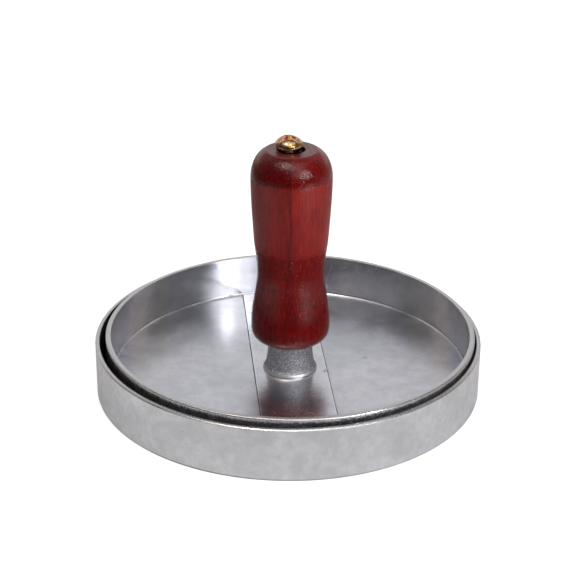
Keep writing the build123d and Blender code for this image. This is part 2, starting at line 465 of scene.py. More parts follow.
def stem_profile():
    root = PLATE_BOTTOM + PLATE_THICKNESS / 2
    lip = (STEM_LIP, BAND_TOP)
    neck = (STEM_NECK, BAND_TOP + STEM_LIP_HEIGHT)
    cone = (STEM_CONE, BAND_TOP + STEM_CONE_HEIGHT)
    drawn_in = (-1, 1.2)
    return joined(
        (0, root, 1),
        (STEM_LIP, root, 4),
        (*lip, 4),
        curve([lip, neck], (0, 1), drawn_in, 12),
        curve([neck, cone, (STEM_RADIUS, STEM_FLARE_TOP)], drawn_in, (0, 1), 24),
        (STEM_RADIUS, STEM_TOP - EDGE, 8),
        arc((STEM_RADIUS - EDGE, STEM_TOP - EDGE), EDGE, 0, 90, 5),
        (0, STEM_TOP, 4),
    )


def use_boolean(piece, other, operation):
    """Joins or cuts the other mesh, applies it to the piece at once, and removes the other."""
    change = piece.modifiers.new("join", "BOOLEAN")
    change.operation = operation
    change.solver = "EXACT"
    change.object = other
    bpy.context.view_layer.update()
    evaluated = piece.evaluated_get(bpy.context.evaluated_depsgraph_get())
    finished = bpy.data.meshes.new_from_object(evaluated)
    piece.modifiers.clear()
    old, piece.data = piece.data, finished
    bpy.data.meshes.remove(old)
    bpy.data.objects.remove(other)
    finished.shade_smooth()
    finished.set_sharp_from_angle(angle=math.radians(CREASE))
    print(piece.name, "after the", operation.lower(), "has", len(finished.polygons), "faces")


plate = make_piece("press_casting", *pan)
use_boolean(plate, make_piece("stem", *swept(stem_profile(), 192, PRESS_X)), "UNION")
hole_radii = (0, TAPPED_RADIUS, TAPPED_RADIUS, 0)
hole = np.stack([hole_radii, (TAPPED_BOTTOM, TAPPED_BOTTOM, TAPPED_TOP, TAPPED_TOP)], -1)
use_boolean(plate, make_piece("tapped_hole", *swept(hole, 48, SCREW_X)), "DIFFERENCE")
seat(plate, "press_plate")

# %% [markdown]
# The handle was turned between centres: a rounded foot, a bulge above it, a waist, a long
# flank and a full grip that rounds over to the edge of a flat top. Its outline is a smooth
# curve through those few rings. The bore runs right through, so the profile is a closed
# loop: up the outside, over the top, down into the screw's counterbore and the bore, and
# out again through the recess that sits over the stem. The bore was drilled a little off
# the turned outline's axis, so the inner rings are moved over, and the flat top and the
# recess's flat ceiling take up the difference without leaving their planes.

# %% Handle
HANDLE_LENGTH = HANDLE_TOP - HANDLE_FOOT
TOP_RADIUS = 7.6
TOP_SLOPE = 0.35
BORE_RADIUS = 2.85
BORE_OFF_CENTRE = 0.25
COUNTERBORE_RADIUS = 4.3
COUNTERBORE_DEPTH = 1.1
RECESS_RADIUS = STEM_RADIUS + 0.2
HANDLE_RINGS = {
    "foot": (8.0, 0.0), "heel": (11.6, 2.0), "bulge": (12.2, 6.5), "waist": (10.3, 23.0),
    "flank": (11.4, 34.5), "grip": (HANDLE_RADIUS, 54.0), "shoulder": (11.0, 59.5),
    "top": (TOP_RADIUS, HANDLE_LENGTH),
}


def handle_profile():
    rings = {name: (radius, HANDLE_FOOT + height) for name, (radius, height) in HANDLE_RINGS.items()}
    foot, heel, bulge, waist, flank, grip, shoulder, top = rings.values()
    up = (0, 1)
    deep = HANDLE_TOP - COUNTERBORE_DEPTH
    return joined(
        (BORE_RADIUS, STEM_TOP, 1),
        (RECESS_RADIUS, STEM_TOP, 3),
        (RECESS_RADIUS, HANDLE_FOOT + EDGE, 3),
        arc((RECESS_RADIUS + EDGE, HANDLE_FOOT + EDGE), EDGE, 180, 270, 4),
        curve([foot, heel, bulge], (1, 0), up, 24),
        curve([bulge, waist], up, up, 40),
        curve([waist, flank, grip], up, up, 40),
        curve([grip, shoulder, top], up, (-1, TOP_SLOPE), 30),
        (COUNTERBORE_RADIUS + EDGE, HANDLE_TOP, 8),
        arc((COUNTERBORE_RADIUS + EDGE, HANDLE_TOP - EDGE), EDGE, 90, 180, 4),
        (COUNTERBORE_RADIUS, deep, 4),
        (BORE_RADIUS, deep, 3),
        (BORE_RADIUS, STEM_TOP, 10),
    )[:-1]


def off_centre_bore(points):
    """Moves a ring of radius r left by the bore's offset times (R - r) / (R - c), from 0 to 1.

    R is the recess's radius, past which nothing moves, and c the counterbore's.
    """
    reach = np.hypot(points[:, 0] - PRESS_X, points[:, 1])
    share = np.clip((RECESS_RADIUS - reach) / (RECESS_RADIUS - COUNTERBORE_RADIUS - EDGE), 0, 1)
    moved = points.copy()
    moved[:, 0] -= BORE_OFF_CENTRE * share
    return moved


points, faces = swept(handle_profile(), 256, PRESS_X)
handle = make_piece("turned_handle", off_centre_bore(points), faces, crease=20.0)
seat(handle, "handle")

# %% [markdown]
# The flat washer is a small swept ring. The spring washer is a square bar bent round almost
# a full turn: its section is carried along an arc, and the two ends lean, because the bar
# was cut at a slant. The section's four corners are rounded, so that its rim glints.

# %% Washers
WASHER_BORE = SCREW_RADIUS + 0.2
SLIT_ANGLE = math.radians(-62)
SLIT_WIDTH = 0.7
SLIT_SLANT = math.radians(25)


def washer_section(node, corner, count=5):
    """The washer's rectangle of radius and height, with arcs at its corners."""
    _, radius, bottom, top = round_box(node)
    inner, outer, bottom, top = WASHER_BORE + corner, radius - corner, bottom + corner, top - corner
    centres = [(outer, bottom), (outer, top), (inner, top), (inner, bottom)]
    return joined(*(arc(c, corner, 90 * n - 90, 90 * n, count) for n, c in enumerate(centres)))


def split_ring(section, columns=160):
    """The section carried round from one end of the slit to the other, with capped ends.

    At the height h the ring spans the angle from slit + gap + (h - middle) tan s / r to the
    same a full turn on, less the gap, where s is the cut's slant.
    """
    r, h = spread(section, columns)
    middle = (section[:, 1].min() + section[:, 1].max()) / 2
    gap = SLIT_WIDTH / (2 * r)
    lean = (h - middle) * math.tan(SLIT_SLANT) / r
    a = SLIT_ANGLE + lean + gap + np.linspace(0, 1, columns) * (2 * np.pi - 2 * gap)
    grid = np.arange(r.size).reshape(r.shape)
    faces = [quads(np.vstack([grid, grid[:1]]).T), grid[None, :, 0], grid[None, ::-1, -1]]
    return round_points(r, h, a, SCREW_X), faces


flat_washer = make_piece("washer_disc", *swept(washer_section("flat_washer", 0.12), 128, SCREW_X))
seat(flat_washer, "flat_washer")
spring_washer = make_piece("spring_ring", *split_ring(washer_section("spring_washer", 0.16)[:-1]))
seat(spring_washer, "spring_washer")

# %% [markdown]
# The screw's head is a raised dome with a tapered cross in it. The cross has straight
# walls, so its part of the head is a square grid whose lines crowd together at the walls,
# and the height of each point is worked out from where it lies. Rows of points then carry
# the square's border out to the round rim, and the same columns run on under the head and
# down the shank, where the radius follows the thread's helix.

# %% Screw: the grid over the head
WASHER_SEAT = round_box("spring_washer")[3]
HEAD_EDGE_HEIGHT = 0.8
HEAD_EDGE_ROUND = 0.4
CROSS_REACH = 2.95
CROSS_WIDTH = 1.15
CROSS_DEPTH = 2.0
CROSS_POINT = 0.6
CROSS_TURN = math.radians(-24)
SQUARE = 2.45
WALL_STEP = 0.16

dome = curve([(0, HEAD_TOP), (HEAD_RADIUS, WASHER_SEAT + HEAD_EDGE_HEIGHT)], (1, 0), (0, -1), 60)


def head_height(u, v):
    """The dome's height at (u, v), less the deeper of two crossed and tapered slots.

    A slot is as deep at the distance v along it as a line from its floor up to its reach,
    and its walls are a cosine step in u, so its mouth is slightly rounded.
    """
    top = np.interp(np.hypot(u, v), dome[:, 0], dome[:, 1])

    def slot(across, along):
        rise = np.clip((np.abs(along) - CROSS_POINT) / (CROSS_REACH - CROSS_POINT), 0, 1)
        sunk = np.maximum(top - (HEAD_TOP - CROSS_DEPTH * (1 - rise)), 0)
        return sunk * cosine_step(np.abs(across), (CROSS_WIDTH - WALL_STEP) / 2, WALL_STEP)

    return top - np.maximum(slot(u, v), slot(v, u))


def square_lines(count=42):
    """Grid lines from one side of the square to the other, nine of them in each cross wall."""
    wall = CROSS_WIDTH / 2 + WALL_STEP * np.linspace(-0.5, 0.5, 9)
    return crowded(np.linspace(-SQUARE, SQUARE, count), np.concatenate([wall, -wall]), 0.4 * WALL_STEP)


lines = square_lines()
print("head grid:", lines.size, "lines each way")

# %% [markdown]
# A thread is one ridge that climbs a pitch each turn. On a grid of angle and height it is a
# wave whose phase is the height in pitches less the angle in turns. It fades out at both
# ends, so the shank stays round there.

# %% Screw: shank and thread
THREAD_LENGTH = 20.0
THREAD_PITCH = 0.7
THREAD_DEPTH = 0.4
TIP_CHAMFER = 0.6


def threaded(r, h, a):
    """The radius less depth times a triangle wave of (height / pitch - angle / turn)."""
    wave = np.abs(2 * np.mod(h / THREAD_PITCH - a / (2 * np.pi), 1) - 1)
    start = np.clip((SCREW_TIP + THREAD_LENGTH - h) / THREAD_PITCH, 0, 1)
    end = np.clip((h - SCREW_TIP - TIP_CHAMFER) / THREAD_PITCH, 0, 1)
    on_shank = np.abs(r - SCREW_RADIUS) < 1e-6
    return np.where(on_shank, r - THREAD_DEPTH * start * end * wave, r)


def shank_profile():
    inner = HEAD_RADIUS - HEAD_EDGE_ROUND
    rim = (HEAD_RADIUS, WASHER_SEAT + HEAD_EDGE_HEIGHT)
    return joined(
        curve([rim, (inner, WASHER_SEAT)], (0, -1), (-1, -0.2), 9),
        (SCREW_RADIUS, WASHER_SEAT, 4),
        (SCREW_RADIUS, SCREW_TIP + THREAD_LENGTH, 30),
        (SCREW_RADIUS, SCREW_TIP + TIP_CHAMFER, int(6 * THREAD_LENGTH / THREAD_PITCH)),
        (SCREW_RADIUS - TIP_CHAMFER, SCREW_TIP, 5),
    )


def make_screw(ring_count=18):
    """The screw's points and faces: the square grid, rings out to the rim, and the rows below."""
    u, v = np.meshgrid(lines, lines, indexing="ij")
    square = np.stack([u, v, head_height(u, v)], -1).reshape(-1, 3)
    number = np.arange(u.size).reshape(u.shape)
    border = np.concatenate([number[:-1, 0], number[-1, :-1], number[:0:-1, -1], number[0, :0:-1]])
    start = square[border, :2]
    a = np.arctan2(start[:, 1], start[:, 0])

    t = np.linspace(0, 1, ring_count)[1:, None, None]
    rim = HEAD_RADIUS * np.stack([np.cos(a), np.sin(a)], -1)
    rings = start[None] * (1 - t) + rim[None] * t
    height = head_height(rings[..., 0], rings[..., 1])
    rings = np.concatenate([rings, height[..., None]], -1).reshape(-1, 3)

    r, h = spread(shank_profile()[1:], border.size)
    below = round_points(threaded(r, h, a), h, a)
    points = np.vstack([square, rings, below, [[0, 0, SCREW_TIP]]])
    rows = np.concatenate([border, np.arange(u.size, len(points) - 1)]).reshape(-1, border.size)
    faces = [quads(number), quads(closed(rows)), fan(rows[-1, ::-1], len(points) - 1)]
    return turned_points(points, CROSS_TURN, SCREW_X), faces


screw = make_piece("long_screw", *make_screw())
seat(screw, "screw")

# %% [markdown]
# Every finish is worked out from where a point lies on the object, so it needs no picture
# and no unwrapping. A few short helpers keep the node trees readable: each adds one node to
# the tree of the sockets that it is given, and gives back the socket that the next node
# reads. Lengths in the trees are millimetres.

# %% Node helpers: numbers


def add(kind, inputs, **settings):
    """A new node; each input is a socket that is linked or a value that is set."""
    linked = {key: value for key, value in inputs.items() if isinstance(value, bpy.types.NodeSocket)}
    tree = next(iter(linked.values())).id_data
    made = tree.nodes.new(kind)
    for name, value in settings.items():
        setattr(made, name, value)
    for key, value in inputs.items():
        if key in linked:
            tree.links.new(value, made.inputs[key])
        else:
            made.inputs[key].default_value = value
    return made


def maths(operation, *values):
    """One number from up to three, such as their quotient or the greater of two."""
    return add("ShaderNodeMath", dict(enumerate(values)), operation=operation).outputs[0]


def times(first, *others):
    """The product of two or more numbers."""
    for value in others:
        first = maths("MULTIPLY", first, value)
    return first


def plus(first, second):
    return maths("ADD", first, second)


def weighted(total, *rows):
    """A number plus each row's value times its weight."""
    for value, weight in rows:
        total = maths("MULTIPLY_ADD", value, weight, total)
    return total


def opposite(mask):
    """1 where the mask is 0 and the other way round."""
    return maths("SUBTRACT", 1.0, mask)


def ramp(value, low, high, first=0.0, last=1.0):
    """A smooth step: first where the value is short of low, last where it is past high."""
    inputs = {"Value": value, "From Min": low, "From Max": high, "To Min": first, "To Max": last}
    return add("ShaderNodeMapRange", inputs, interpolation_type="SMOOTHSTEP").outputs[0]


def between(value, low, high, soft):
    """1 where the value lies between low and high, with soft ends."""
    rising = ramp(value, low - soft / 2, low + soft / 2)
    return times(rising, ramp(value, high - soft / 2, high + soft / 2, 1.0, 0.0))


# %% [markdown]
# The second half of the helpers deals with places, patterns and colours. Colours are
# written as the 0 to 255 numbers of a screen and made linear here. A finish is built up
# like paint: a base colour, and then layer on layer, each let through by its own mask.

# %% Node helpers: vectors, patterns and colours
WHITE = (1.0, 1.0, 1.0, 1.0)


def vector_maths(operation, first, second):
    return add("ShaderNodeVectorMath", {0: first, 1: second}, operation=operation).outputs[0]


def scaled(vector, factor):
    return add("ShaderNodeVectorMath", {0: vector, "Scale": factor}, operation="SCALE").outputs[0]


def turned(vector, angle):
    """The vector turned about the upright axis."""
    inputs = {"Vector": vector, "Angle": angle}
    return add("ShaderNodeVectorRotate", inputs, rotation_type="Z_AXIS").outputs[0]


def combined(**parts):
    """A vector from its named parts; a part that isn't named is 0."""
    return add("ShaderNodeCombineXYZ", parts).outputs[0]


def separated(vector):
    return add("ShaderNodeSeparateXYZ", {0: vector}).outputs


def length_of(x, y):
    """The square root of x squared plus y squared."""
    return maths("SQRT", maths("MULTIPLY_ADD", y, y, times(x, x)))


def turn_of(x, y):
    """The angle from the front, -Y, towards +X."""
    return maths("ARCTAN2", x, times(y, -1.0))


def noise(vector, scale=1.0, detail=3.0, roughness=0.5, distortion=0.0):
    inputs = {"Scale": scale, "Detail": detail, "Roughness": roughness, "Distortion": distortion}
    return add("ShaderNodeTexNoise", {"Vector": vector, **inputs}).outputs


def cloud(place, size, detail=3.0, roughness=0.5, distortion=0.0, stretch=(1, 1, 1)):
    """Noise from 0 to 1 whose largest features are about size across, drawn out by stretch."""
    placed = vector_maths("DIVIDE", place, [size * s for s in stretch])
    return noise(placed, 1.0, detail, roughness, distortion)["Fac"]


def cells(vector, scale):
    """Random cells; the Distance output grows from each cell's point."""
    return add("ShaderNodeTexVoronoi", {"Vector": vector, "Scale": scale}).outputs


def colour(value):
    """A linear colour from three screen numbers; a socket or a linear colour stays as it is."""
    if not isinstance(value, tuple) or len(value) != 3:
        return value
    screen = np.array(value) / 255
    linear = np.where(screen <= 0.04045, screen / 12.92, ((screen + 0.055) / 1.055) ** 2.4)
    return (*linear.tolist(), 1.0)


def blend(factor, first, second):
    """A colour from two, by a factor from 0 to 1."""
    inputs = {0: factor, 6: colour(first), 7: colour(second)}
    return add("ShaderNodeMix", inputs, data_type="RGBA").outputs[2]


def painted(base, *layers):
    """The base with a colour laid over it for each layer: mask, strength and colour."""
    for mask, strength, top in layers:
        base = blend(mask if strength == 1 else times(mask, strength), base, top)
    return base


# %% [markdown]
# An effect that several finishes share is a node group, made once and placed in each
# material with its own values. An input is given here by its default number, or by its
# kind where it is a vector.

# %% Group helpers


def feed(inputs, **channels):
    """Links each channel to the input of its name; gives the tree."""
    for label, socket in channels.items():
        socket.id_data.links.new(socket, inputs[label.replace("_", " ")])
    return socket.id_data


def new_group(name, inputs, outputs):
    """An empty shader node group with named sockets; gives what its two end nodes hold."""
    tree = bpy.data.node_groups.new(name, "ShaderNodeTree")
    for direction, rows in (("INPUT", inputs), ("OUTPUT", outputs)):
        for label, value in rows.items():
            kind = value if isinstance(value, str) else "Float"
            made = "NodeSocket" + kind
            socket = tree.interface.new_socket(label, in_out=direction, socket_type=made)
            if value != kind:
                socket.default_value = value
    return tree.nodes.new("NodeGroupInput").outputs, tree.nodes.new("NodeGroupOutput").inputs


def use_group(group, **values):
    """Places a group in a tree; a name such as axis_x stands for the input Axis X."""
    inputs = {name.replace("_", " ").title(): value for name, value in values.items()}
    return add("ShaderNodeGroup", inputs, node_tree=group).outputs


# %% [markdown]
# Turned and cast pieces are read by radius and height about their own axis. The group
# moves the axis to the origin, turns metres into millimetres, and also unrolls the wall:
# its Wall vector runs along the girth and up, which is what scratches on a wall follow.

# %% Group: where a point lies about an upright axis


def make_round_place():
    outputs = {"Place": "Vector", "Radius": "Float", "Height": "Float", "Wall": "Vector"}
    given, result = new_group("round_place", {"Object": "Vector", "Axis X": 0.0}, outputs)
    place = vector_maths("SUBTRACT", scaled(given["Object"], 1 / MM), combined(X=given["Axis X"]))
    x, y, z = separated(place)
    radius = length_of(x, y)
    wall = combined(X=times(turn_of(x, y), radius), Y=z)
    return feed(result, Place=place, Radius=radius, Height=z, Wall=wall)


round_place = make_round_place()
print("group", round_place.name)

# %% [markdown]
# Soft aluminium shows every touch. Hairlines are noise squeezed into thin streaks, once for
# each of three directions, and broken up by a coarser cloud, so that no line runs right
# across. Nicks sit in random cells: each cell has a point, and the distance from it, bent
# by noise, is a ragged spot. Only a share of the cells gets one.

# %% Groups: hairlines and nicks
HAIRLINE_WAYS = (17.0, 74.0, 128.0)


def make_hairlines():
    inputs = {"Flat": "Vector", "Length": 12.0, "Width": 0.12, "Share": 0.4}
    given, result = new_group("hairlines", inputs, {"Mask": "Float"})
    flat, size = given["Flat"], combined(X=given["Length"], Y=given["Width"], Z=1.0)
    open_at = weighted(0.75, (given["Share"], -0.5))
    total = 0.0
    for number, degrees in enumerate(HAIRLINE_WAYS):
        streaks = vector_maths("DIVIDE", turned(flat, math.radians(degrees)), size)
        moved = vector_maths("ADD", streaks, (13.1 * number, 7.7 * number, 3.3 * number))
        thin = ramp(noise(moved, detail=1.0)["Fac"], 0.68, 0.76)
        patches = cloud(vector_maths("ADD", flat, (40.0 * number, 9.0, 5.0)), 9.0, 2.0)
        patch = times(maths("SUBTRACT", patches, open_at), 8.0)
        total = maths("MAXIMUM", times(thin, add("ShaderNodeClamp", {0: patch}).outputs[0]), total)
    return feed(result, Mask=total)


def make_nicks():
    inputs = {"Place": "Vector", "Spacing": 6.0, "Size": 0.5, "Share": 0.3}
    given, result = new_group("nicks", inputs, {"Mask": "Float"})
    bend = vector_maths("SUBTRACT", noise(given["Place"], 2.2)["Color"], (0.5, 0.5, 0.5))
    ragged = vector_maths("ADD", given["Place"], scaled(bend, times(given["Size"], 2.2)))
    found = cells(ragged, maths("DIVIDE", 1.0, given["Spacing"]))
    distance = times(found["Distance"], given["Spacing"])
    chance, width, _ = add("ShaderNodeSeparateColor", {0: found["Color"]}).outputs
    size = times(given["Size"], plus(width, 0.4))
    spot = ramp(maths("DIVIDE", distance, size), 0.5, 1.0, 1.0, 0.0)
    return feed(result, Mask=times(spot, maths("LESS_THAN", chance, given["Share"])))


hairlines = make_hairlines()
nicks = make_nicks()
print("groups:", hairlines.name, nicks.name)

# %% [markdown]
# Three more effects come back in several finishes. Mottle is the slow, cloudy change of
# tone on handled metal. Speckle is the grain of a filed or sand-cast face. The black
# non-stick coat is smooth but for a film of dust and a few pale crumbs.

# %% Groups: mottle and speckle, and the colour of the coat
COAT_BLACK = (24, 24, 26)


def make_mottle():
    outputs = {"Tone": "Float", "Smear": "Float"}
    given, result = new_group("mottle", {"Place": "Vector", "Size": 10.0}, outputs)
    placed = scaled(given["Place"], maths("DIVIDE", 1.0, given["Size"]))
    slow = noise(placed, 1.0, 5.0, 0.62, 0.6)["Fac"]
    quick = noise(placed, 4.3, 4.0, 0.6, 0.3)["Fac"]
    return feed(result, Tone=ramp(slow, 0.3, 0.7), Smear=ramp(quick, 0.35, 0.7))


def make_speckle():
    outputs = {"Height": "Float", "Spots": "Float"}
    given, result = new_group("speckle", {"Place": "Vector", "Grain": 0.3}, outputs)
    scale = maths("DIVIDE", 1.0, given["Grain"])
    fine = noise(given["Place"], scale)["Fac"]
    height = weighted(0.0, (fine, 0.6), (cells(given["Place"], scale)["Distance"], 0.4))
    return feed(result, Height=height, Spots=ramp(fine, 0.45, 0.68))


def coat_colour(place):
    """The black coat with a film of dust and a few pale crumbs in it."""
    dusty = blend(ramp(cloud(place, 3.0, 4.0, 0.7), 0.35, 0.7), COAT_BLACK, (58, 57, 62))
    crumbs = use_group(speckle, place=place, grain=0.45)["Spots"]
    return painted(dusty, (crumbs, 0.35, (122, 120, 122)))


mottle = make_mottle()
speckle = make_speckle()
print("groups:", mottle.name, speckle.name)

# %% [markdown]
# A material is a shader with each channel worked out by its own short run of nodes. The
# helper makes the shader, keeps its plain numbers on its own sockets, and gives back what
# the next lines need.

# %% Material helpers


def new_material(name, **plain):
    """A node material; gives it, its shader's inputs and the object coordinates."""
    material = bpy.data.materials.new(name)
    material.use_nodes = True
    nodes = material.node_tree.nodes
    inputs = nodes["Principled BSDF"].inputs
    for label, value in plain.items():
        inputs[label.replace("_", " ")].default_value = value
    return material, inputs, nodes.new("ShaderNodeTexCoord").outputs["Object"]


def bump(*heights):
    """A normal from the sum of heights in millimetres, each a socket and its weight."""
    inputs = {"Height": weighted(0.0, *heights), "Strength": 1.0, "Distance": MM}
    return add("ShaderNodeBump", inputs).outputs["Normal"]


def dress(material, *pieces):
    for piece in pieces:
        piece.data.materials.append(material)
    print(material.name, "on", [piece.name for piece in pieces])


# %% [markdown]
# The mould's outside is satin: turned, then wiped and handled. It has slow clouds, faint
# slanting hairlines and a few dark pits. Its rim was filed and glitters, and a dark line of
# painted shade runs along its foot, darkest on the left. The inside has the black coat.

# %% Material: mould


def make_mould_finish():
    material, shader, place = new_material("satin_cast_aluminium")
    spot = use_group(round_place, object=place)
    here, height = spot["Place"], spot["Height"]
    clouds = use_group(mottle, place=here, size=9.0)
    lines = use_group(hairlines, flat=spot["Wall"], length=9.0, width=0.16, share=0.45)["Mask"]
    pits = use_group(nicks, place=here, spacing=5.0, size=0.28, share=0.25)["Mask"]
    grain = use_group(speckle, place=here, grain=0.22)
    inner = ramp(spot["Radius"], MOULD_INNER + 0.35, MOULD_INNER + 0.1)
    coat = times(inner, ramp(height, MOULD_FLOOR * 0.4, MOULD_FLOOR * 0.6))
    filed = times(ramp(height, MOULD_HEIGHT - 0.55, MOULD_HEIGHT - 0.2), opposite(coat))
    left_foot_shade = ramp(separated(here)["X"], 0.0, -30.0, 0.4, 0.95)
    lathe_marks = cloud(here, 0.16, 2.0, stretch=(30, 30, 1))

    metal = painted(
        blend(clouds["Tone"], (220, 222, 228), (240, 241, 246)),
        (clouds["Smear"], 0.4, (208, 206, 206)),
        (lines, 0.35, (246, 246, 248)),
        (pits, 0.5, (120, 118, 118)),
        (filed, 0.8, blend(grain["Spots"], (158, 157, 157), (234, 232, 230))),
        # painted shade: a dark line along the foot, stronger on the left
        (ramp(height, 0.85, 0.4), left_foot_shade, (44, 42, 41)),
        (coat, 1, coat_colour(here)),
    )
    rough = weighted(0.3, (clouds["Tone"], 0.1), (filed, -0.06), (lines, 0.12), (coat, 0.1))
    normal = bump(
        (lathe_marks, 0.006), (lines, -0.004), (pits, -0.02), (clouds["Tone"], 0.02),
        (times(grain["Height"], filed), 0.05),
    )
    feed(shader, Base_Color=metal, Metallic=opposite(coat), Roughness=rough, Normal=normal)
    return material


dress(make_mould_finish(), mould)

# %% [markdown]
# The press plate has four finishes on one casting: a buffed pan that mirrors the handle, a
# rim that was filed flat, the black coat outside and underneath, and a stem left as it came
# from the mould, grainy and dark, with a bright line where its lip was skimmed. Masks of
# radius and height tell them apart, and noise frays the border of the coat. Along the
# band, a thin dark line of painted shade runs at the foot of each edge, broken up by noise,
# and a painted highlight runs on top.

# %% Material: press plate


def make_press_finish():
    material, shader, place = new_material("buffed_cast_aluminium")
    spot = use_group(round_place, object=place, axis_x=PRESS_X)
    here, radius, height = spot["Place"], spot["Radius"], spot["Height"]
    on_wall = ramp(radius, PAN_RADIUS - 0.5, PAN_RADIUS - 0.3)
    flat = add("ShaderNodeMix", {0: on_wall, 4: here, 5: spot["Wall"]}, data_type="VECTOR").outputs[1]
    clouds = use_group(mottle, place=here, size=14.0)
    lines = use_group(hairlines, flat=flat, length=14.0, width=0.14, share=0.5)["Mask"]
    dents = use_group(nicks, place=here, spacing=11.0, size=1.1, share=0.3)["Mask"]
    chips = use_group(nicks, place=here, spacing=4.0, size=0.3, share=0.22)["Mask"]
    grain = use_group(speckle, place=here, grain=0.25)
    sand = use_group(speckle, place=here, grain=0.42)

    frayed = weighted(height, (plus(cloud(here, 0.7, 4.0, 0.7), -0.5), 2.6))
    outside = ramp(radius, PRESS_RADIUS - 0.5, PRESS_RADIUS - 0.2)
    below_rim = ramp(frayed, RIM_TOP - 0.3, RIM_TOP - 1.4)
    beneath = ramp(height, PLATE_BOTTOM + 1.5, PLATE_BOTTOM + 1.3)
    coat = maths("MAXIMUM", times(outside, below_rim), beneath)
    filed = times(ramp(height, RIM_TOP - 0.35, RIM_TOP - 0.1), opposite(coat))
    lip_top = BAND_TOP + STEM_LIP_HEIGHT
    past_lip = plus(radius, -STEM_LIP)
    cast = times(ramp(past_lip, 1.0, 0.8), ramp(height, lip_top - 0.25, lip_top + 0.1))
    bead = times(ramp(past_lip, 0.6, 0.3), ramp(height, BAND_TOP + 0.1, BAND_TOP + 0.3))

    past_band = plus(maths("ABSOLUTE", separated(turned(here, -BAND_TURN))["X"]), -BAND_WIDTH / 2)
    inside = ramp(radius, PAN_RADIUS - 0.2, PAN_RADIUS - 0.6)
    on_floor = times(inside, ramp(height, PAN_FLOOR + 1.2, PAN_FLOOR + 0.8))
    gap, ridge_highlight = between(past_band, 0.05, 0.32, 0.1), between(past_band, -0.3, -0.05, 0.1)
    patchy = ramp(cloud(here, 5.0), 0.25, 0.6, 0.45, 0.95)

    metal = painted(
        blend(clouds["Tone"], (200, 201, 207), (220, 220, 224)),
        (clouds["Smear"], 0.35, (178, 180, 188)),
        (lines, 0.3, (228, 228, 230)),
        (dents, 0.35, (150, 152, 162)),
        (chips, 0.5, (120, 118, 120)),
        # painted shade at the foot of each band edge, and a painted highlight along its top
        (times(gap, patchy), on_floor, (52, 50, 54)),
        (times(ridge_highlight, on_floor), 0.6, (240, 240, 242)),
        (filed, 1, blend(grain["Spots"], (182, 181, 181), (236, 234, 231))),
        (bead, 1, (232, 230, 228)),
        (cast, 1, blend(sand["Spots"], (146, 147, 152), (212, 212, 218))),
        (coat, 1, coat_colour(here)),
    )
    floor_rough = ramp(past_band, 0.2, -0.2, 0.33, 0.22)
    rough = weighted(
        add("ShaderNodeMix", {0: on_wall, 2: floor_rough, 3: 0.18}).outputs[0],
        (clouds["Tone"], 0.07), (bead, 0.16), (lines, 0.12), (dents, 0.15), (filed, 0.16),
        (cast, 0.22), (coat, 0.15),
    )
    normal = bump(
        (cloud(here, 16.0, 1.0), 0.12), (lines, -0.003), (dents, -0.04), (chips, -0.03),
        (times(grain["Height"], filed), 0.05), (times(sand["Height"], cast), 0.13),
    )
    feed(shader, Base_Color=metal, Metallic=opposite(coat), Roughness=rough, Normal=normal)
    return material


dress(make_press_finish(), plate)

# %% [markdown]
# The handle is a pale hardwood under a red stain and a thick varnish. Its grain runs up the
# handle, so every pattern is drawn out along the height. The stain went on twice at the
# shoulder and at the foot, which left darker tongues there with a ragged edge. One darker
# growth line runs down the front, and on the front the wood left of it has painted shade,
# as the light falls from the right. The thick varnish at both ends is glossy and has fine
# dimples, set by DIMPLE, that break its highlights into glints. The rim of the foot has a
# pale painted sheen, and the hole at the top has painted shade, nearly black, inside.

# %% Material: stained wood
DIMPLE = 0.42
FOOT_DIP = 33.0
SHOULDER_DIP = 9.0
HOLE_RADIUS = 4.7


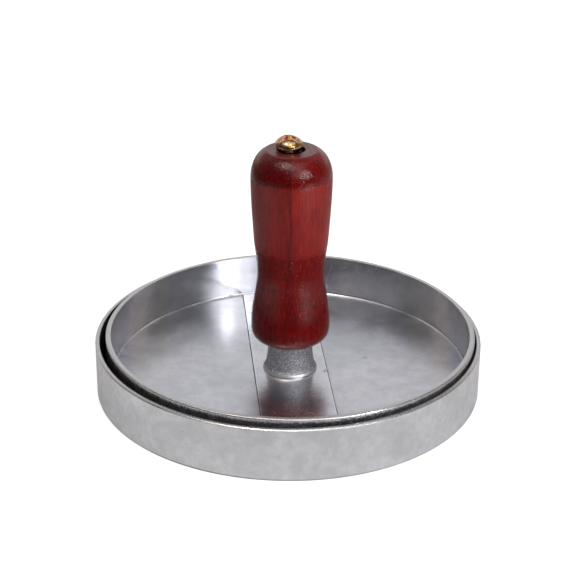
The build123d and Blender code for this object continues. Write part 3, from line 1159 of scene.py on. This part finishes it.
def make_wood_finish():
    material, shader, place = new_material("stained_varnished_wood", Specular_IOR_Level=0.32)
    spot = use_group(round_place, object=place, axis_x=PRESS_X)
    wood, radius = spot["Place"], spot["Radius"]
    up = plus(spot["Height"], -HANDLE_FOOT)
    x, y, _ = separated(wood)
    fibres = cloud(wood, 0.5, 3.0, 0.6, stretch=(1, 1, 16))
    bands = cloud(wood, 3.2, 3.0, 0.55, 0.4, stretch=(1, 1, 12))
    patches = cloud(wood, 7.0, 4.0, 0.6, stretch=(1, 1, 1.6))
    dimples = {"Vector": wood, "Scale": 1 / DIMPLE, "Smoothness": 0.25}
    bowls = add("ShaderNodeTexVoronoi", dimples, feature="SMOOTH_F1").outputs["Distance"]
    pores = use_group(nicks, place=wood, spacing=1.0, size=0.3, share=0.5)["Mask"]
    drawn_out = vector_maths("DIVIDE", wood, (1.0, 1.0, 2.2))
    flecks = use_group(nicks, place=drawn_out, spacing=0.85, size=0.2, share=0.55)["Mask"]

    ragged = weighted(up, (plus(cloud(wood, 5.0), -0.5), 3.4))
    shoulder_line = HANDLE_LENGTH - SHOULDER_DIP
    shoulder = ramp(ragged, shoulder_line, shoulder_line + 1.6)
    foot = ramp(ragged, FOOT_DIP, FOOT_DIP - 3.5)
    dipped = maths("MAXIMUM", shoulder, foot)
    soaked = maths("MAXIMUM", times(shoulder, 0.92), times(foot, ramp(up, 31.0, 14.0, 0.62, 0.97)))

    bend = plus(cloud(wood, 6.0, 2.0, stretch=(1, 1, 4)), -0.5)
    line = weighted(plus(x, ramp(up, 22.0, 5.0, 0.45, 1.4)), (bend, 2.2))
    at_front = ramp(y, -3.0, -5.0)
    right = ramp(plus(line, ramp(up, FOOT_DIP, FOOT_DIP - 8.0, 1.2, 4.2)), 0.0, 1.8)
    # painted shade on the front, left of the growth line, more at the shoulder
    shade = times(at_front, weighted(0.3, (shoulder, 0.25)), opposite(right))
    core = ramp(maths("DIVIDE", maths("ABSOLUTE", line), ramp(up, 34.0, 28.0, 0.85, 1.2)), 1.0, 0.2)
    broken = times(ramp(cloud(wood, 8.0, 2.0), 0.3, 0.6, 0.25, 0.62), ramp(up, 30.0, 22.0, 1.0, 0.5))

    turning = cloud(combined(X=radius), 0.7)
    facet = ramp(up, HANDLE_LENGTH - 0.35, HANDLE_LENGTH - 0.05)
    edge = times(between(radius, TOP_RADIUS - 0.25, TOP_RADIUS + 0.2, 0.2), facet)
    # painted sheen: a pale band on the foot's rim, where it mirrors bright surroundings
    foot_rim_sheen = times(ramp(up, 3.2, 0.6), ramp(patches, 0.3, 0.6))
    # painted shade: the hole under the screw head, nearly black
    sunk = ramp(up, HANDLE_LENGTH - 0.2, HANDLE_LENGTH - 0.45)
    hole = times(sunk, ramp(radius, HOLE_RADIUS + 0.3, HOLE_RADIUS))

    stained = painted(
        blend(ramp(fibres, 0.3, 0.72), (112, 9, 8), (148, 25, 15)),
        (ramp(bands, 0.35, 0.7), 0.5, (112, 12, 11)),
        (soaked, 1, blend(ramp(fibres, 0.3, 0.75), (72, 2, 3), (112, 6, 4))),
        (ramp(patches, 0.42, 0.72), 0.35, (76, 6, 8)),
        (pores, ramp(dipped, 0.0, 1.0, 0.35, 0.75), (30, 5, 7)),
        (flecks, ramp(bands, 0.35, 0.6, 0.2, 0.7), (170, 52, 26)),
        (shade, 1, (50, 4, 7)),
        (times(core, at_front), broken, (44, 6, 9)),
        (facet, 1, blend(ramp(turning, 0.35, 0.7), (76, 25, 24), (98, 35, 33))),
        (edge, 0.6, (120, 20, 24)),
        (foot_rim_sheen, 0.7, (150, 62, 56)),
        (hole, 1, (22, 7, 6)),
    )
    rough = weighted(ramp(patches, 0.3, 0.7, 0.36, 0.44), (dipped, -0.33), (facet, 0.18), (hole, 0.4))
    normal = bump(
        (times(cloud(wood, 0.5, 1.0), ramp(dipped, 0.0, 1.0, 0.35, 1.0)), 0.02),
        (times(bowls, bowls, weighted(shoulder, (foot, 0.8))), -0.062),
        (pores, -0.02), (fibres, 0.012), (times(turning, facet), 0.05),
    )
    feed(shader, Base_Color=stained, Roughness=rough, Normal=normal)
    return material


dress(make_wood_finish(), handle)

# %% [markdown]
# Zinc plating with a yellow passivation is never one colour: it shifts between straw, rose
# and olive with the thickness of its film. Slow noise picks the tint, and the metal under
# it stays bright and smooth. Below the head the plating has painted shade, dark brown, but
# for one spot at the front of the spring washer that is left out of it and glints.

# %% Material: yellow zinc


def make_zinc_finish():
    material, shader, place = new_material("yellow_zinc_plate", Metallic=1.0)
    spot = use_group(round_place, object=place, axis_x=SCREW_X)
    here, above_seat = spot["Place"], plus(spot["Height"], -WASHER_SEAT)
    x, y, _ = separated(here)
    tint = cloud(here, 2.2, 2.0, 0.5, 0.8)
    other = cloud(vector_maths("ADD", here, (9.0, 4.0, 2.0)), 1.6, 2.0, 0.5, 0.5)
    marks = use_group(nicks, place=here, spacing=1.2, size=0.16, share=0.3)["Mask"]
    below_head = ramp(above_seat, 0.1, -0.3)
    # painted shade below the head, left out at one spot at the front of the spring washer so that it
    # glints
    glint_spot = times(ramp(y, -2.6, -2.9), between(x, -0.7, 2.0, 0.8), ramp(above_seat, -0.55, -0.4))
    under_head_shade = times(below_head, ramp(other, 0.66, 0.56, 0.6, 0.97), weighted(1.0, (glint_spot, -0.95)))
    plated = painted(
        blend(ramp(tint, 0.35, 0.65), (214, 178, 112), (232, 178, 156)),
        (ramp(other, 0.5, 0.7), 0.75, (122, 112, 56)),
        (marks, 0.5, (104, 74, 42)),
        (under_head_shade, 1, (26, 18, 14)),
    )
    rough = weighted(ramp(other, 0.3, 0.7, 0.14, 0.22), (below_head, 0.2))
    feed(shader, Base_Color=plated, Roughness=rough, Normal=bump((tint, 0.01), (marks, -0.01)))
    return material


dress(make_zinc_finish(), screw, flat_washer, spring_washer)

# %% [markdown]
# The object stands on a plain white table. The table's colour alone would come out a little
# grey, so a small glow that only the camera and reflections see lifts it to white, and it
# still darkens where the object shades it. What the polished pan mirrors of the table is
# not even, and this is painted in for reflections only: it ends at an edge in front, has
# painted shade on the far left and in front of the object's left half, and painted arcs of
# glow stand for light from the lamps, by turn and distance.

# %% Floor
FLOOR_WHITE = 0.5
FLOOR_GLOW_SEEN = 0.75
FLOOR_GLOW_LEFT = 0.07
FLOOR_GLOW_RIGHT = 0.04
FLOOR_SHADE = (0.03, 0.03, 0.035, 1.0)
TABLE_REACH = 0.28
ARC_SOFT = math.radians(30.0)
LIGHT_ARCS = [  # from and to in degrees from the front, near and far in metres, strength
    (-88.0, -35.0, 0.11, 0.26, 0.55),
    (30.0, 58.0, 0.19, 0.25, 8.0),
    (30.0, 85.0, 0.11, 0.26, 0.4),
]


def light_paths(nodes):
    """1 for a ray from the camera, and 1 for a ray that metal or glass has sent on."""
    path = nodes.new("ShaderNodeLightPath").outputs
    return path["Is Camera Ray"], maths("MAXIMUM", path["Is Glossy Ray"], path["Is Transmission Ray"])


def make_floor(half=3.0):
    corner = np.array([[-1, -1, 0], [1, -1, 0], [1, 1, 0], [-1, 1, 0]]) * half / MM
    floor = make_piece("floor", corner, [np.array([[0, 1, 2, 3]])])
    material, shader, place = new_material(
        "white_floor", Roughness=1.0, Specular_IOR_Level=0.0, Emission_Color=WHITE
    )
    x, y, _ = separated(place)
    camera_ray, mirrored = light_paths(material.node_tree.nodes)
    table = ramp(y, -TABLE_REACH, -TABLE_REACH + 0.03)
    faint = ramp(x, -0.02, 0.08, FLOOR_GLOW_LEFT, FLOOR_GLOW_RIGHT)
    away, turn = length_of(x, y), turn_of(x, y)
    # painted light: arcs of glow, seen only in reflections, where lamps would light the table
    for start, end, near, far, strength in LIGHT_ARCS:
        along = between(turn, math.radians(start), math.radians(end), ARC_SOFT)
        faint = weighted(faint, (times(along, between(away, near, far, 0.05)), strength))
    glow = weighted(times(mirrored, faint, table), (camera_ray, FLOOR_GLOW_SEEN))
    # painted shade, seen only in reflections: in front of the left half, on the far left and past the
    # table's edge
    front_left = times(ramp(y, -0.17, -0.2), ramp(x, 0.1, 0.04))
    far_left = ramp(x, -0.18, -0.26)
    mirrored_shade = maths("MAXIMUM", maths("MAXIMUM", opposite(table), front_left), far_left)
    plain = blend(times(mirrored, mirrored_shade), (FLOOR_WHITE, FLOOR_WHITE, FLOOR_WHITE, 1.0), FLOOR_SHADE)
    feed(shader, Base_Color=plain, Emission_Strength=glow)
    dress(material, floor)


make_floor()

# %% [markdown]
# Metal shows the room. In the photograph the pan's far wall is dark where it mirrors the
# camera's side of the room, bright where it mirrors a soft box, and tan and yellowish where
# it mirrors strips at the sides. The world therefore has a plain level for light, and a
# picture of that room for reflections. Behind the object it is white, with a bluish dark
# patch in each far corner. In front it is dark: darkest low down, a little lighter above
# that, more so on the right. Overhead hangs a bright diffuser with a dark border.

# %% World
WORLD_LEVEL = 0.4
DIFFUSER = (1.0, 0.98, 0.97, 1.0)
DARK_BORDER = (0.1, 0.1, 0.11, 1.0)
LOW_FRONT = (0.04, 0.04, 0.045, 1.0)
LEFT_FRONT, RIGHT_FRONT = (0.125, 0.135, 0.155, 1.0), (0.19, 0.2, 0.225, 1.0)
HIGH_BACK, BACK_CORNER = (0.8, 0.8, 0.82, 1.0), (0.27, 0.29, 0.35, 1.0)
SIDE_STRIPS = [  # from and to in degrees from the front on both sides, and the colour
    (89.0, 112.0, (0.1, 0.105, 0.11, 1.0)),
    (91.5, 98.5, (0.42, 0.34, 0.18, 1.0)),
    (111.0, 130.0, (0.45, 0.3, 0.18, 1.0)),
]


def make_room(x, y, z):
    """The room's colour in the direction (x, y, z), by its turn from the front and its rise."""
    degrees = 180 / math.pi
    rise = times(maths("ARCSINE", z), degrees)
    aside = times(maths("ABSOLUTE", turn_of(x, y)), degrees)
    above = maths("MAXIMUM", z, 0.05)
    across = maths("ABSOLUTE", maths("DIVIDE", x, above))
    beyond = maths("DIVIDE", y, above)
    overhead = times(ramp(rise, 36.0, 52.0), ramp(across, 1.0, 0.7), ramp(beyond, 0.14, 0.06))
    high = ramp(rise, 24.0, 34.0)
    upper_front = blend(ramp(x, -0.4, 0.4), LEFT_FRONT, RIGHT_FRONT)
    front = blend(ramp(rise, 10.0, 19.0), LOW_FRONT, upper_front)
    front = painted(front, (high, 1, DARK_BORDER), (overhead, 1, DIFFUSER))
    corner = times(between(aside, 130.0, 160.0, 5.0), between(rise, 21.0, 38.0, 5.0))
    back = painted(WHITE, (ramp(rise, 4.0, 20.0), 1, HIGH_BACK), (corner, 1, BACK_CORNER))
    past_middle = weighted(y, (z, -0.2), (length_of(x, y), -0.12))
    in_front = ramp(past_middle, -0.03, 0.03, 1.0, 0.0)
    in_front = maths("MAXIMUM", in_front, times(high, ramp(beyond, 0.48, 0.38)))
    room = blend(in_front, back, front)
    for start, end, tone in SIDE_STRIPS:
        room = blend(times(between(aside, start, end, 4.0), ramp(rise, 36.0, 28.0)), room, tone)
    return room


def make_world():
    world = bpy.data.worlds.new("studio")
    bpy.context.scene.world = world
    world.use_nodes = True
    nodes = world.node_tree.nodes
    camera_ray, mirrored = light_paths(nodes)
    room = make_room(*separated(nodes.new("ShaderNodeTexCoord").outputs["Generated"]))
    level = (WORLD_LEVEL, WORLD_LEVEL, WORLD_LEVEL, 1.0)
    feed(nodes["Background"].inputs, Color=painted(level, (mirrored, 1, room), (camera_ray, 1, WHITE)))
    print("world:", world.name, "with a plain level of", WORLD_LEVEL)


make_world()

# %% [markdown]
# Six area lamps stand where the highlights say. The main soft box is to the right in front,
# with a brighter edge and a small bright middle that makes the glints on the varnish. A
# small warm one is high on the left, and one hangs above and in front of the handle. The
# key light only brightens: metal and varnish don't mirror it.

# %% Lamps
LAMP_AIM = Vector((0, 0, 0.03))
LAMPS = {  # turn from the front and rise in degrees, distance and size in metres, watts
    "soft_box": (27, 29, 1.0, (0.78, 0.5), 1.4),
    "soft_box_edge": (30, 27, 0.99, (0.12, 0.26), 0.5),
    "soft_box_middle": (45, 24, 0.98, (0.09, 0.11), 2.1),
    "left_soft_box": (-38, 66, 1.0, (0.14, 0.12), 1.7),
    "top_soft_box": (8, 58, 1.0, (0.5, 0.5), 1.5),
    "key_light": (52, 38, 1.0, (0.8, 0.8), 3.0),
}


def make_lamp(name, turn, rise, distance, size, power):
    """An area lamp at a turn and a rise from the object's middle, aimed back at it."""
    data = bpy.data.lights.new(name, "AREA")
    data.shape = "RECTANGLE"
    data.size, data.size_y = size
    data.energy = power
    lamp = bpy.data.objects.new(name, data)
    bpy.context.scene.collection.objects.link(lamp)
    turn, rise = math.radians(turn), math.radians(rise)
    way = Vector((math.sin(turn) * math.cos(rise), -math.cos(turn) * math.cos(rise), math.sin(rise)))
    lamp.location = LAMP_AIM + way * distance
    lamp.rotation_euler = (-way).to_track_quat("-Z", "Y").to_euler()
    return lamp


lamps = {name: make_lamp(name, *row) for name, row in LAMPS.items()}
lamps["left_soft_box"].data.color = (1.0, 0.87, 0.72)
lamps["key_light"].visible_glossy = False
print("lamps:", list(lamps))

# %% [markdown]
# Last comes the plain view transform, which shows a colour about as it is written.

# %% Finish
bpy.context.scene.view_settings.view_transform = "Standard"
